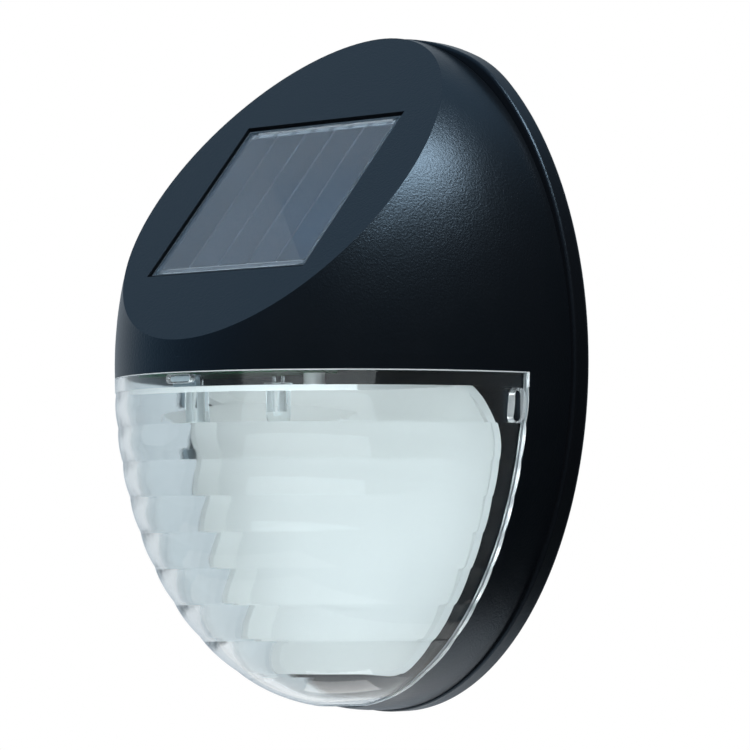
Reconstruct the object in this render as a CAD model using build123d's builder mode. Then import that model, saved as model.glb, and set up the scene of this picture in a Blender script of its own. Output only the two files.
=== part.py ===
from build123d import *
import os
from math import asin, cos, radians, sin, sqrt, tan

# Solar wall light, in millimetres. The wall is the plane Y = 0, the front faces -Y and +Z is up.
# A depth is a distance forwards from the wall.

# Rear cover
rim_lap_side = 1.2
rim_lap_end = 0.5
rim_depth = 4.6
rim_round = 0.6
crown_spread = 9.2
crown_blend = 30.0
plate_thick = 2.2

# Housing form: a short collar, then an elliptical dome, taller below the middle than above it
dome_half_width = 52.8
dome_half_height_up = 71.4
dome_half_height_low = 74.0
collar_depth = 8.0
dome_reach = 58.6
wall = 2.2
seam_z = -3.0
tongue_inset = 1.1
tongue_gap = 0.15
tongue_back = 3.0

# Sloped face and the panel pocket in it
slope_angle = 41.5
slope_top = 78.76
slope_wall = 2.4
panel_depth = 38.5
panel_width = 45.2
panel_length = 44.0
panel_gap_side = 0.6
panel_gap_end = 0.8
panel_setback = 0.5
cover_thick = 1.0
cell_thick = 0.3
board_thick = 1.0
seal_thick = 0.4
seal_width = 4.0
pocket_floor = 1.7
pocket_border = 2.8
cell_count = 5
cell_margin_side = 1.225
cell_gap = 0.4
cell_margin_end = 2.2
ribbon_width = 1.0
ribbon_thick = 0.2
ribbon_gap = 0.3
resin_gap = 0.1

# Lens: level scalloped ribs below a plain band, swelling outwards and inwards
lens_edge = 16.8
lens_wall = 2.0
lens_shoulder = 18.5
lens_fullness = 2.4
lens_band = 3.2
lens_foot = 0.5
lens_gap = 0.1
rib_count = 9
rib_valley = -0.2
rib_crest = 0.12
rib_inner = 0.3
rebate_inset = 1.0
rebate_height = 2.2
lip_clearance = 0.15
lip_thick = 0.75
lip_root = 0.5

# Bulkhead behind the reflector
bulkhead_front = 15.0
bulkhead_thick = 2.0
bulkhead_top = 1.0

# Snap hooks and their windows in the lens
front_window_width = 7.0
front_window_height = 1.7
front_window_drop = 1.5
side_window_width = 2.8
side_window_height = 7.0
side_window_depth = 19.1
side_window_z = -10.0
hook_thick = 1.3
hook_gap = 0.25
front_hook_gap = 0.6
hook_play = 0.3

# Reflector
reflector_inset_side = 4.2
reflector_inset_end = 2.7
reflector_cut = 7.7
reflector_thick = 1.2
reflector_corner = 12.0
reflector_foot_corner = 3.0
reflector_flare = 4.5
reflector_height = 4.6
reflector_wall = 1.6
shelf_drop = 3.2
shelf_margin = 2.0
shelf_inset = 2.6
peg_x = 30.0
peg_z = -14.0
peg_radius = 1.5
peg_head_radius = 2.4
peg_head_thick = 0.8
fit_gap = 0.05

# Lamps and circuit board
led_x = 12.0
led_setback = 17.3
led_radius = 2.5
led_flange_radius = 2.9
led_flange_thick = 1.0
led_height = 7.0
lead_half_pitch = 1.27
lead_size = 0.5
lead_hole_radius = 0.45
lead_trim = 0.4
standoff_height = 2.9
standoff_radius = 2.2
circuit_width = 44.0
circuit_length = 14.0
circuit_thick = 1.2
board_screw_x = 19.0
board_screw_offset = 3.3
board_screw_radius = 0.95
board_screw_length = 3.6
board_screw_head_radius = 1.9
board_screw_head = 1.2
chip_width = 5.2
chip_offset = 3.5
chip_thick = 1.6
chip_height = 3.8
chip_stand = 1.6
pin_count = 4
pin_pitch = 1.27
pin_size = 0.45
coil_offset = 3.7
coil_radius = 1.5
coil_length = 7.0
coil_stand = 0.5
coil_lead_reach = 1.5

# Battery bay, an AA cell lying across the back
bay_z = 25.3
bay_wall = 1.4
cell_radius = 7.25
cell_body = 49.2
cell_cap = 1.3
cell_cap_radius = 2.75
cell_round = 0.8
cell_play = 0.25
cell_back_gap = 0.6
contact_thick = 0.4
contact_inset = 1.25
contact_back_gap = 0.3
spring_room = 4.5
tab_drop = 0.5
tab_height = 3.0
tab_reach = 3.8
tab_gap = 0.1
leaf_rise = 3.0
door_lap_side = 2.6
door_lap_end = 3.3
door_corner = 3.0
door_thick = 1.8
door_gap = 0.25
door_rib = 1.0
door_rib_height = 1.2
ledge_thick = 1.6
ledge_border = 1.2
door_ear_offset = 2.7
door_ear_radius = 3.2
door_boss_front = 9.0

# Slide switch, in a shallow well at the back
switch_x = 24.0
switch_z = 2.0
switch_travel = 4.0
well_width = 12.0
well_height = 8.0
well_corner = 2.0
well_depth = 3.2
well_floor = 1.4
well_border = 4.5
knob_size = 3.0
knob_gap = 0.15
knob_tip = 0.9
foot_width = 5.0
foot_thick = 1.2
frame_width = 19.6
frame_height = 5.6
frame_thick = 0.5
frame_screw_x = 7.6
body_width = 11.0
body_height = 5.2
body_thick = 3.4
pin_reach = 3.0
switch_pin_pitch = 3.0
switch_pin_size = 0.8
switch_screw_radius = 0.75
switch_screw_length = 3.0
switch_screw_head_radius = 1.6
switch_screw_head = 1.0

# Screws and bosses
boss_radius = 3.2
boss_margin = 1.9
boss_share_up = 0.51
boss_share_low = 0.43
screw_radius = 1.25
screw_length = 9.0
screw_head_radius = 2.4
screw_head = 1.2
counterbore_gap = 0.25

# Keyholes for two wall screws, one above the other
keyhole_spacing = 98.0
keyhole_radius = 4.6
keyhole_slot = 4.4
keyhole_rise = 7.0

# Leads
wire_radius = 0.6
wire_bend = 4.0
panel_lead_x = 4.0
panel_lead_drop = 6.0
board_lead_x = 6.0
battery_lead_x = 14.0
lead_end_offset = 3.3
lead_turn = 9.4
lead_clear = 2.0

# Sizes that follow from the ones above
rim_half_width = dome_half_width + rim_lap_side
rim_half_height = dome_half_height_low + rim_lap_end
crown_half_width = dome_half_width + crown_spread
nose_depth = collar_depth + dome_reach
span = 2 * rim_half_height + nose_depth
edge_share = sqrt(1 - ((lens_edge - collar_depth) / dome_reach) ** 2)
edge_half_width = dome_half_width * edge_share
edge_half_height = dome_half_height_low * edge_share
panel_z = slope_top - panel_depth / tan(radians(slope_angle))
pocket_width = panel_width + 2 * panel_gap_side
pocket_length = panel_length + 2 * panel_gap_end
board_back = panel_setback + cover_thick + board_thick
pocket_depth = board_back + seal_thick
pad_depth = pocket_depth + pocket_floor
band_bottom = seam_z - lens_band
lens_bottom = -(edge_half_height - lens_foot)
rib_pitch = (band_bottom - lens_bottom) / rib_count
bulkhead_back = bulkhead_front - bulkhead_thick
shelf_top = seam_z - shelf_drop
circuit_bottom = shelf_top + standoff_height
circuit_top = circuit_bottom + circuit_thick
led_depth = nose_depth - led_setback
lead_end_depth = led_depth - lead_end_offset
board_screw_depth = led_depth - board_screw_offset
chip_depth = led_depth - chip_offset
coil_depth = led_depth + coil_offset
shelf_half_width = edge_half_width - reflector_inset_side - reflector_corner - shelf_margin
cell_pitch = (panel_width - 2 * cell_margin_side) / cell_count
cell_length = panel_length - 2 * cell_margin_end
bay_half_length = (cell_body + cell_cap + spring_room) / 2 + contact_thick + contact_back_gap
bay_half_height = cell_radius + cell_play
cell_depth = door_thick + cell_back_gap + cell_radius
bay_front = cell_depth + cell_radius + contact_back_gap
contact_size = 2 * (cell_radius - contact_inset)
tab_depth = cell_depth
tab_z = bay_z + contact_size / 2 - tab_drop
door_width = 2 * (bay_half_length + door_lap_side)
door_height = 2 * (bay_half_height + door_lap_end)
door_screw_x = door_width / 2 + door_ear_offset
bay_outer_front = bay_front + bay_wall
ledge_front = door_thick + ledge_thick
well_front = well_depth + well_floor
frame_front = well_front + frame_thick
body_front = frame_front + body_thick
pin_tip = body_front + pin_reach
boss_up = boss_share_up * dome_half_height_up
boss_low = boss_share_low * dome_half_height_low
boss_reach = (dome_half_width - wall) * sqrt(1 - (boss_up / (dome_half_height_up - wall)) ** 2)
boss_x = boss_reach - boss_radius - boss_margin
housing_screw_points = [(boss_x, boss_up), (-boss_x, boss_up), (boss_x, -boss_low), (-boss_x, -boss_low)]
keyhole_points = [(0, keyhole_spacing / 2), (0, -keyhole_spacing / 2)]
door_screw_points = [(door_screw_x, bay_z), (-door_screw_x, bay_z)]
switch_screw_points = [(switch_x + frame_screw_x, switch_z), (switch_x - frame_screw_x, switch_z)]
circuit_screw_points = [(board_screw_x, -board_screw_depth), (-board_screw_x, -board_screw_depth)]
led_points = [(led_x, -led_depth), (-led_x, -led_depth)]

os.makedirs("parts", exist_ok=True)


def wall_plane(depth):
    """A plane parallel to the wall, whose local y is up and whose normal points forwards."""
    return Plane(origin=(0, -depth, 0), x_dir=(1, 0, 0), z_dir=(0, -1, 0))


tilt = radians(slope_angle)
panel_plane = Plane(
    origin=(0, -panel_depth, panel_z),
    x_dir=(1, 0, 0),
    z_dir=(0, -cos(tilt), sin(tilt)),
)


def save(piece, name):
    """Label a finished piece and write it."""
    piece.label = name
    export_step(piece, f"parts/{name}.step")


def outline(depth, inset):
    """The housing's oval outline, moved in by inset."""
    with BuildSketch(wall_plane(depth)) as oval:
        with BuildLine():
            half_width = dome_half_width - inset
            EllipticalCenterArc((0, 0), half_width, dome_half_height_up - inset, 0, arc_size=180)
            EllipticalCenterArc((0, 0), half_width, dome_half_height_low - inset, 180, arc_size=180)
        make_face()
    return oval.sketch


def half_dome(inset, half_height, back, axis):
    """Half of the collar and dome, turned about a level axis and then stretched upright."""
    radius = dome_half_width - inset
    with BuildPart() as half:
        with BuildSketch(Plane.XY):
            with BuildLine():
                nose = EllipticalCenterArc((0, -collar_depth), radius, dome_reach - inset, 270, arc_size=90)
                Polyline(nose @ 1, (radius, -back), (0, -back), nose @ 0)
            make_face()
        revolve(axis=axis, revolution_arc=180)
    return half.part.scale((1, 1, (half_height - inset) / radius), about=(0, 0, 0))


def form(inset, back):
    """The whole oval form, moved in by inset, from the depth back to the nose."""
    upper = half_dome(inset, dome_half_height_up, back, Axis((0, 0, 0), (0, -1, 0)))
    lower = half_dome(inset, dome_half_height_low, back, Axis((0, 0, 0), (0, 1, 0)))
    return upper.fuse(lower)


def lens_axes(z, inset):
    """Half width and reach of the lens at a level, as a half ellipse about the collar line."""
    level = abs(z) / (edge_half_height - inset)
    edge = (edge_half_width - inset) * sqrt(1 - level ** 2)
    swell = (nose_depth - lens_shoulder - inset) * sqrt(1 - level ** lens_fullness)
    reach = lens_shoulder - collar_depth + swell
    return edge / sqrt(1 - ((lens_edge - collar_depth) / reach) ** 2), reach


def lens_slice(z, inset, grow):
    """One level slice of the lens."""
    half_width, reach = lens_axes(z, inset)
    with BuildSketch(Plane.XY.offset(z)) as level:
        with BuildLine():
            arc = EllipticalCenterArc((0, -collar_depth), half_width + grow, reach + grow, 180, arc_size=180)
            Line(arc @ 1, arc @ 0)
        make_face()
    return level.sketch


def reflector_outline(depth, inset, drop):
    """A section of the reflector's dish, an ellipse cut level at the shelf and at the foot."""
    half_width = edge_half_width - reflector_inset_side - inset
    half_height = edge_half_height - reflector_inset_end - inset
    top = shelf_top - drop
    foot = inset + reflector_cut - edge_half_height
    with BuildSketch(wall_plane(depth)) as plate:
        Ellipse(half_width, half_height)
        with Locations((0, (top + foot) / 2)):
            Rectangle(2 * half_width, top - foot, mode=Mode.INTERSECT)
        corners = plate.vertices().group_by(Axis.Z)
        fillet(corners[-1], reflector_corner - drop)
        fillet(corners[0], reflector_foot_corner)
    return plate.sketch


def door_outline(depth, grow):
    """The battery lid's outline, a rounded plate with an ear at each end."""
    with BuildSketch(wall_plane(depth)) as lid:
        with Locations((0, bay_z)):
            RectangleRounded(door_width + 2 * grow, door_height + 2 * grow, door_corner + grow)
            SlotOverall(2 * (door_screw_x + door_ear_radius + grow), 2 * (door_ear_radius + grow))
    return lid.sketch


def wire(points):
    """A round lead along straight runs joined by arcs."""
    with BuildPart() as lead:
        with BuildLine() as path:
            FilletPolyline(*points, radius=wire_bend)
        with BuildSketch(Plane(origin=path.line @ 0, z_dir=path.line % 0)):
            Circle(wire_radius)
        sweep()
    return lead.part


def screw(depth, points, radius, length, head_radius, head, forwards):
    """Pan screws whose heads bear at the depth, with shanks that point forwards or back."""
    turn = 1 if forwards else -1
    with BuildPart() as group:
        with BuildSketch(wall_plane(depth)):
            with Locations(*points):
                Circle(head_radius)
        extrude(amount=-turn * head)
        with BuildSketch(wall_plane(depth)):
            with Locations(*points):
                Circle(radius)
        extrude(amount=turn * length)
    return group.part


# Front housing: the hollow inside first, with the bulkhead, the panel pad and the bosses left standing in it
inner_form = form(wall, tongue_back - plate_thick)
outer_form = form(0, rim_depth)
rebate_form = form(rebate_inset, rim_depth)
upper_bosses = housing_screw_points[:2]
lower_bosses = housing_screw_points[2:]

with BuildPart() as housing_hollow:
    add(inner_form)
    split(bisect_by=panel_plane.offset(-slope_wall), keep=Keep.BOTTOM)
    with Locations((0, -bulkhead_back - bulkhead_thick / 2, bulkhead_top - span / 2)):
        Box(span, bulkhead_thick, span, mode=Mode.SUBTRACT)
    with BuildSketch(panel_plane.offset(-pad_depth)):
        Rectangle(pocket_width + 2 * pocket_border, pocket_length + 2 * pocket_border)
    extrude(amount=pad_depth, mode=Mode.SUBTRACT)
    with BuildSketch(wall_plane(plate_thick)):
        with Locations(*upper_bosses):
            Circle(boss_radius)
    extrude(amount=nose_depth, mode=Mode.SUBTRACT)
    with BuildSketch(wall_plane(plate_thick)):
        with Locations(*lower_bosses):
            Circle(boss_radius)
    extrude(amount=bulkhead_front - plate_thick, mode=Mode.SUBTRACT)
    split(bisect_by=wall_plane(plate_thick), keep=Keep.TOP)

rebate_top = seam_z + rebate_height
front_hook_face = nose_depth - lens_wall - front_hook_gap
hook_width = front_window_width - 2 * hook_play
front_window_z = seam_z - front_window_drop
prong_height = side_window_height - 2 * hook_play
prong_tip = side_window_depth + side_window_width / 2 - hook_play
prong_width, prong_reach = lens_axes(side_window_z - prong_height / 2, lens_wall)
prong_bend = sqrt(1 - ((prong_tip - collar_depth) / prong_reach) ** 2)
side_hook_face = prong_width * prong_bend - hook_gap

with BuildPart() as rebate:
    add(rebate_form)
    split(bisect_by=Plane.XY.offset(rebate_top), keep=Keep.BOTTOM)
    split(bisect_by=wall_plane(bulkhead_front), keep=Keep.TOP)

with BuildPart() as front_housing:
    add(outer_form)
    extrude(outline(tongue_back, tongue_inset), amount=collar_depth - tongue_back)
    with BuildSketch(wall_plane(plate_thick)):
        with Locations(*housing_screw_points):
            Circle(boss_radius)
    extrude(amount=collar_depth - plate_thick)
    split(bisect_by=panel_plane, keep=Keep.BOTTOM)
    with Locations((0, -lens_edge - span / 2, seam_z - span / 2)):
        Box(span, span, span, mode=Mode.SUBTRACT)
    add(housing_hollow.part, mode=Mode.SUBTRACT)
    add(rebate.part, mode=Mode.SUBTRACT)
    # Panel pocket, with a window in its floor for the leads
    with BuildSketch(panel_plane):
        Rectangle(pocket_width, pocket_length)
    extrude(amount=-pocket_depth, mode=Mode.SUBTRACT)
    with BuildSketch(panel_plane):
        Rectangle(panel_width - 2 * seal_width, panel_length - 2 * seal_width)
    extrude(amount=-2 * pad_depth, mode=Mode.SUBTRACT)
    # Screw holes in the bosses
    with BuildSketch(wall_plane(plate_thick)):
        with Locations(*housing_screw_points):
            Circle(screw_radius + fit_gap)
    extrude(amount=screw_length, mode=Mode.SUBTRACT)
    # Holes for the reflector's pegs
    with BuildSketch(wall_plane(bulkhead_back)):
        with Locations((peg_x, peg_z), (-peg_x, peg_z)):
            Circle(peg_radius + fit_gap)
    extrude(amount=bulkhead_thick, mode=Mode.SUBTRACT)
    # Side hooks, prongs from the bulkhead
    for side in (1, -1):
        with BuildSketch(wall_plane(bulkhead_front)):
            with Locations((side * (side_hook_face - hook_thick / 2), side_window_z)):
                Rectangle(hook_thick, prong_height)
        extrude(amount=prong_tip - bulkhead_front)
        with BuildSketch(Plane.YZ.offset(side * side_hook_face)):
            with Locations((-side_window_depth, side_window_z)):
                SlotOverall(prong_height, side_window_width - 2 * hook_play, rotation=90)
        extrude(amount=side * lens_wall)
save(front_housing.part, "front_housing")

# Rear cover: an oval tray with the battery bay, the switch well and the keyholes
bay_width = 2 * bay_half_length
bay_height = 2 * bay_half_height

with BuildPart() as rear_cover:
    with BuildSketch(wall_plane(0)):
        Ellipse(rim_half_width, rim_half_height)
        # Flatter crown, flush with the top of the housing
        with BuildLine():
            crown = EllipticalCenterArc((0, 0), crown_half_width, dome_half_height_up, 0, arc_size=180)
            Polyline(crown @ 1, (-crown_half_width, -span), (crown_half_width, -span), crown @ 0)
        make_face(mode=Mode.INTERSECT)
    extrude(amount=rim_depth)
    corners = rear_cover.edges().filter_by(Axis.Y).filter_by_position(Axis.Z, wall, span)
    fillet(corners, crown_blend)
    fillet(rear_cover.faces().sort_by(Axis.Y)[0].edges() + rear_cover.faces().sort_by(Axis.Y)[-1].edges(), rim_round)
    tray_mouth = outline(plate_thick, tongue_inset - tongue_gap)
    extrude(tray_mouth, amount=rim_depth - plate_thick, mode=Mode.SUBTRACT)
    # Ledge and walls of the battery bay
    with BuildSketch(wall_plane(0)):
        with Locations((0, bay_z)):
            Rectangle(door_width + 2 * ledge_border, door_height + 2 * ledge_border)
    extrude(amount=ledge_front)
    with BuildSketch(wall_plane(0)):
        with Locations((0, bay_z)):
            Rectangle(bay_width + 2 * bay_wall, bay_height + 2 * bay_wall)
    extrude(amount=bay_outer_front)
    with BuildSketch(wall_plane(0)):
        with Locations(*door_screw_points):
            Circle(door_ear_radius + ledge_border)
    extrude(amount=door_boss_front)
    extrude(door_outline(0, door_gap), amount=door_thick, mode=Mode.SUBTRACT)
    with BuildSketch(wall_plane(0)):
        with Locations((0, bay_z)):
            Rectangle(bay_width, bay_height)
    extrude(amount=bay_front, mode=Mode.SUBTRACT)
    with BuildSketch(wall_plane(0)):
        with Locations(*door_screw_points):
            Circle(screw_radius + fit_gap)
    extrude(amount=door_boss_front, mode=Mode.SUBTRACT)
    # Slots in the bay's ends for the contacts' tabs
    with Locations((0, -tab_depth, tab_z)):
        Box(2 * (bay_half_length + 2 * bay_wall), contact_thick + 2 * tab_gap, tab_height + 2 * tab_gap,
            mode=Mode.SUBTRACT)
    # Switch well with a slot in its floor, and pilot holes for the switch's screws
    with BuildSketch(wall_plane(0)):
        with Locations((switch_x, switch_z)):
            Rectangle(well_width + 2 * well_border, well_height + 2 * well_floor)
    extrude(amount=well_front)
    with BuildSketch(wall_plane(0)):
        with Locations((switch_x, switch_z)):
            RectangleRounded(well_width, well_height, well_corner)
    extrude(amount=well_depth, mode=Mode.SUBTRACT)
    with BuildSketch(wall_plane(0)):
        with Locations((switch_x, switch_z)):
            Rectangle(knob_size + switch_travel + 2 * knob_gap, knob_size + 2 * knob_gap)
    extrude(amount=well_front, mode=Mode.SUBTRACT)
    with BuildSketch(wall_plane(well_front)):
        with Locations(*switch_screw_points):
            Circle(switch_screw_radius + fit_gap)
    extrude(amount=-switch_screw_length, mode=Mode.SUBTRACT)
    # Keyholes
    with BuildSketch(wall_plane(0)):
        with Locations(*keyhole_points):
            Circle(keyhole_radius)
        with Locations(*[(x, z + keyhole_rise / 2) for x, z in keyhole_points]):
            SlotCenterToCenter(keyhole_rise, keyhole_slot, rotation=90)
    extrude(amount=plate_thick, mode=Mode.SUBTRACT)
    # Sunk holes for the housing screws
    with BuildSketch(wall_plane(0)):
        with Locations(*housing_screw_points):
            Circle(screw_radius + fit_gap)
    extrude(amount=plate_thick, mode=Mode.SUBTRACT)
    with BuildSketch(wall_plane(0)):
        with Locations(*housing_screw_points):
            Circle(screw_head_radius + counterbore_gap)
    extrude(amount=screw_head, mode=Mode.SUBTRACT)
save(rear_cover.part, "rear_cover")

# Foam ring that the housing's tongue presses on
with BuildPart() as rear_gasket:
    extrude(outline(plate_thick, tongue_inset), amount=tongue_back - plate_thick)
    extrude(outline(plate_thick, wall), amount=tongue_back - plate_thick, mode=Mode.SUBTRACT)
save(rear_gasket.part, "rear_gasket")

housing_screws = screw(screw_head, housing_screw_points, screw_radius, screw_length, screw_head_radius,
                       screw_head, True)
save(housing_screws, "housing_screws")

# Lens: a lip that enters the housing's rebate, a plain band, then scalloped ribs down to the foot
lip_inset = rebate_inset + lip_clearance
lip_outer = form(lip_inset, rim_depth)
lip_inner = form(lip_inset + lip_thick, rim_depth)
lens_top = seam_z - lens_gap
rib_steps = 4
foot_levels = 5
hollow_bottom = edge_half_height - lens_wall - lens_foot

with BuildPart() as lens_lip:
    add(lip_outer)
    add(lip_inner, mode=Mode.SUBTRACT)
    split(bisect_by=Plane.XY.offset(rebate_top - lip_clearance), keep=Keep.BOTTOM)
    split(bisect_by=wall_plane(bulkhead_front + lip_clearance), keep=Keep.TOP)
    with Locations((0, -lens_edge - lip_root - span / 2, lens_top - lip_root - span / 2)):
        Box(span, span, span, mode=Mode.SUBTRACT)


def rib_slices(rib, inset, valley, crest):
    """Slices through one rib, which swells from its valleys to its crest."""
    slices = []
    for step in range(rib_steps + 1):
        along = step / rib_steps
        bulge = valley + (crest - valley) * 4 * along * (1 - along)
        slices.append(lens_slice(band_bottom - rib_pitch * (rib + along), inset, bulge))
    return slices


hollow_half_height = edge_half_height - lens_wall
foot_start = asin((rib_pitch * (rib_count - 1) - band_bottom) / hollow_half_height)
foot_end = asin(hollow_bottom / hollow_half_height)
foot_slices = []
for step in range(foot_levels + 1):
    angle = foot_start + (foot_end - foot_start) * step / foot_levels
    foot_slices.append(lens_slice(-hollow_half_height * sin(angle), lens_wall, 0))

with BuildPart() as lens:
    loft([lens_slice(lens_top, 0, 0), lens_slice(band_bottom, 0, 0)], ruled=True)
    for rib in range(rib_count):
        loft(rib_slices(rib, 0, rib_valley, rib_crest))
    loft([lens_slice(rebate_top, lens_wall, 0), lens_slice(band_bottom, lens_wall, 0)], ruled=True,
         mode=Mode.SUBTRACT)
    for rib in range(rib_count - 1):
        loft(rib_slices(rib, lens_wall, 0, -rib_inner), mode=Mode.SUBTRACT)
    loft(foot_slices, mode=Mode.SUBTRACT)
    split(bisect_by=wall_plane(lens_edge + lens_gap), keep=Keep.TOP)
    add(lens_lip.part)
    # Snap windows at the front and at both sides
    with BuildSketch(wall_plane(front_hook_face)):
        with Locations((0, front_window_z)):
            SlotOverall(front_window_width, front_window_height)
    extrude(amount=2 * lens_wall, mode=Mode.SUBTRACT)
    for side in (1, -1):
        with BuildSketch(Plane.YZ.offset(side * side_hook_face)):
            with Locations((-side_window_depth, side_window_z)):
                SlotOverall(side_window_height, side_window_width, rotation=90)
        extrude(amount=side * 3 * lens_wall, mode=Mode.SUBTRACT)
save(lens.part, "lens")

# Reflector: a flared dish, a shelf over it, standoffs for the board and staked pegs behind
plate_front = bulkhead_front + reflector_thick
dish_front = bulkhead_front + reflector_height
dish_foot = reflector_wall + reflector_flare * (1 - reflector_thick / reflector_height)

with BuildPart() as reflector:
    loft(
        [
            reflector_outline(bulkhead_front, reflector_flare, 0),
            reflector_outline(dish_front, 0, 0),
        ],
        ruled=True,
    )
    loft(
        [
            reflector_outline(plate_front, dish_foot, reflector_thick),
            reflector_outline(dish_front, reflector_wall, reflector_thick),
        ],
        ruled=True,
        mode=Mode.SUBTRACT,
    )
    with BuildSketch(Plane.XY.offset(shelf_top)) as shelf:
        add(lens_slice(shelf_top, shelf_inset, 0))
        with Locations((0, -bulkhead_front - span / 2)):
            Rectangle(2 * shelf_half_width, span, mode=Mode.INTERSECT)
        with Locations(*led_points):
            Circle(led_radius + fit_gap, mode=Mode.SUBTRACT)
    extrude(amount=-reflector_thick)
    with BuildSketch(Plane.XY.offset(shelf_top)):
        with Locations(*circuit_screw_points):
            Circle(standoff_radius)
            Circle(board_screw_radius + fit_gap, mode=Mode.SUBTRACT)
    extrude(amount=standoff_height)
    # Clip at the shelf's front, with a nub in the lens's window
    with BuildSketch(Plane.XY.offset(shelf_top - reflector_thick)):
        with Locations((0, -front_hook_face + hook_thick / 2)):
            Rectangle(hook_width, hook_thick)
    extrude(amount=reflector_thick + front_window_z + front_window_height / 2 - shelf_top)
    with BuildSketch(wall_plane(front_hook_face)):
        with Locations((0, front_window_z)):
            SlotOverall(hook_width, front_window_height - 2 * hook_play)
    extrude(amount=lens_wall / 2 + front_hook_gap)
    # Pegs, with heads formed behind the bulkhead
    with BuildSketch(wall_plane(bulkhead_front)):
        with Locations((peg_x, peg_z), (-peg_x, peg_z)):
            Circle(peg_radius)
    extrude(amount=-bulkhead_thick - peg_head_thick)
    with BuildSketch(wall_plane(bulkhead_back)):
        with Locations((peg_x, peg_z), (-peg_x, peg_z)):
            Circle(peg_head_radius)
    extrude(amount=-peg_head_thick)
save(reflector.part, "reflector")

# Lamps: clear 5 mm bodies through the shelf, with leads up into the board
with BuildPart() as one_led:
    with BuildSketch(Plane.XZ):
        with BuildLine():
            tip = CenterArc((0, -led_height + led_radius), led_radius, 270, 90)
            Polyline(tip @ 1, (led_radius, 0), (led_flange_radius, 0), (led_flange_radius, led_flange_thick),
                     (0, led_flange_thick), tip @ 0)
        make_face()
    revolve(axis=Axis.Z)
    with BuildSketch(Plane.XY.offset(led_flange_thick)):
        with Locations((lead_half_pitch, 0), (-lead_half_pitch, 0)):
            Rectangle(lead_size, lead_size)
    extrude(amount=circuit_top + lead_trim - shelf_top - led_flange_thick)

with BuildPart() as leds:
    with Locations(*[(x, y, shelf_top) for x, y in led_points]):
        add(one_led.part)
save(leds.part, "leds")

# Circuit board with its controller, coil and screws
with BuildPart() as circuit_board:
    with BuildSketch(Plane.XY.offset(circuit_bottom)):
        with Locations((0, -led_depth)):
            Rectangle(circuit_width, circuit_length)
        for x, y in led_points:
            with Locations((x + lead_half_pitch, y), (x - lead_half_pitch, y)):
                Circle(lead_hole_radius, mode=Mode.SUBTRACT)
        with Locations(*circuit_screw_points):
            Circle(board_screw_radius + fit_gap, mode=Mode.SUBTRACT)
    extrude(amount=circuit_thick)
save(circuit_board.part, "circuit_board")

with BuildPart() as controller_chip:
    with BuildSketch(Plane.XY.offset(circuit_top + chip_stand)):
        with Locations((0, -chip_depth)):
            Rectangle(chip_width, chip_thick)
    extrude(amount=chip_height)
    with BuildSketch(Plane.XY.offset(circuit_top)):
        with Locations((0, -chip_depth)):
            with GridLocations(pin_pitch, 1, pin_count, 1):
                Rectangle(pin_size, pin_size)
    extrude(amount=chip_stand)
save(controller_chip.part, "controller_chip")

coil_z = circuit_top + coil_stand + coil_radius
with BuildPart() as inductor:
    with BuildSketch(Plane.YZ.offset(-coil_length / 2)):
        with Locations((-coil_depth, coil_z)):
            Circle(coil_radius)
    extrude(amount=coil_length)
    with Locations((0, -coil_depth, coil_z)):
        Box(coil_length + 2 * coil_lead_reach, lead_size, lead_size)
    with BuildSketch(Plane.XY.offset(circuit_top)):
        with Locations((0, -coil_depth)):
            with GridLocations(coil_length + 2 * coil_lead_reach - lead_size, 1, 2, 1):
                Rectangle(lead_size, lead_size)
    extrude(amount=coil_z - circuit_top)
save(inductor.part, "inductor")

with BuildPart() as board_screws:
    with BuildSketch(Plane.XY.offset(circuit_top)):
        with Locations(*circuit_screw_points):
            Circle(board_screw_head_radius)
    extrude(amount=board_screw_head)
    with BuildSketch(Plane.XY.offset(circuit_top)):
        with Locations(*circuit_screw_points):
            Circle(board_screw_radius)
    extrude(amount=-board_screw_length)
save(board_screws.part, "board_screws")

# Solar panel, from the foam frame up to the clear resin face
with BuildPart() as panel_seal:
    with BuildSketch(panel_plane.offset(-pocket_depth)):
        Rectangle(panel_width, panel_length)
        Rectangle(panel_width - 2 * seal_width, panel_length - 2 * seal_width, mode=Mode.SUBTRACT)
    extrude(amount=seal_thick)
save(panel_seal.part, "panel_seal")

with BuildPart() as panel_board:
    with BuildSketch(panel_plane.offset(-board_back)):
        Rectangle(panel_width, panel_length)
    extrude(amount=board_thick)
save(panel_board.part, "panel_board")

board_face = panel_plane.offset(-panel_setback - cover_thick)
ribbon_length = cell_count * cell_pitch - cell_gap
ribbon_y = cell_length / 2 + ribbon_gap + ribbon_width / 2

with BuildPart() as solar_cells:
    with BuildSketch(board_face):
        with GridLocations(cell_pitch, 1, cell_count, 1):
            Rectangle(cell_pitch - cell_gap, cell_length)
    extrude(amount=cell_thick)
save(solar_cells.part, "solar_cells")

with BuildPart() as cell_ribbons:
    with BuildSketch(board_face):
        with Locations((0, ribbon_y), (0, -ribbon_y)):
            Rectangle(ribbon_length, ribbon_width)
    extrude(amount=ribbon_thick)
save(cell_ribbons.part, "cell_ribbons")

with BuildPart() as panel_cover:
    with BuildSketch(board_face):
        Rectangle(panel_width, panel_length)
    extrude(amount=cover_thick)
    with BuildSketch(board_face):
        Rectangle(ribbon_length + 2 * resin_gap, 2 * ribbon_y + ribbon_width + 2 * resin_gap)
    extrude(amount=cell_thick, mode=Mode.SUBTRACT)
save(panel_cover.part, "panel_cover")

# Battery cell with its raised cap, between a plate contact and a leaf spring
plate_x = bay_half_length - contact_back_gap
cap_x = plate_x - contact_thick
cell_right = cap_x - cell_cap
cell_left = cell_right - cell_body

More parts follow.
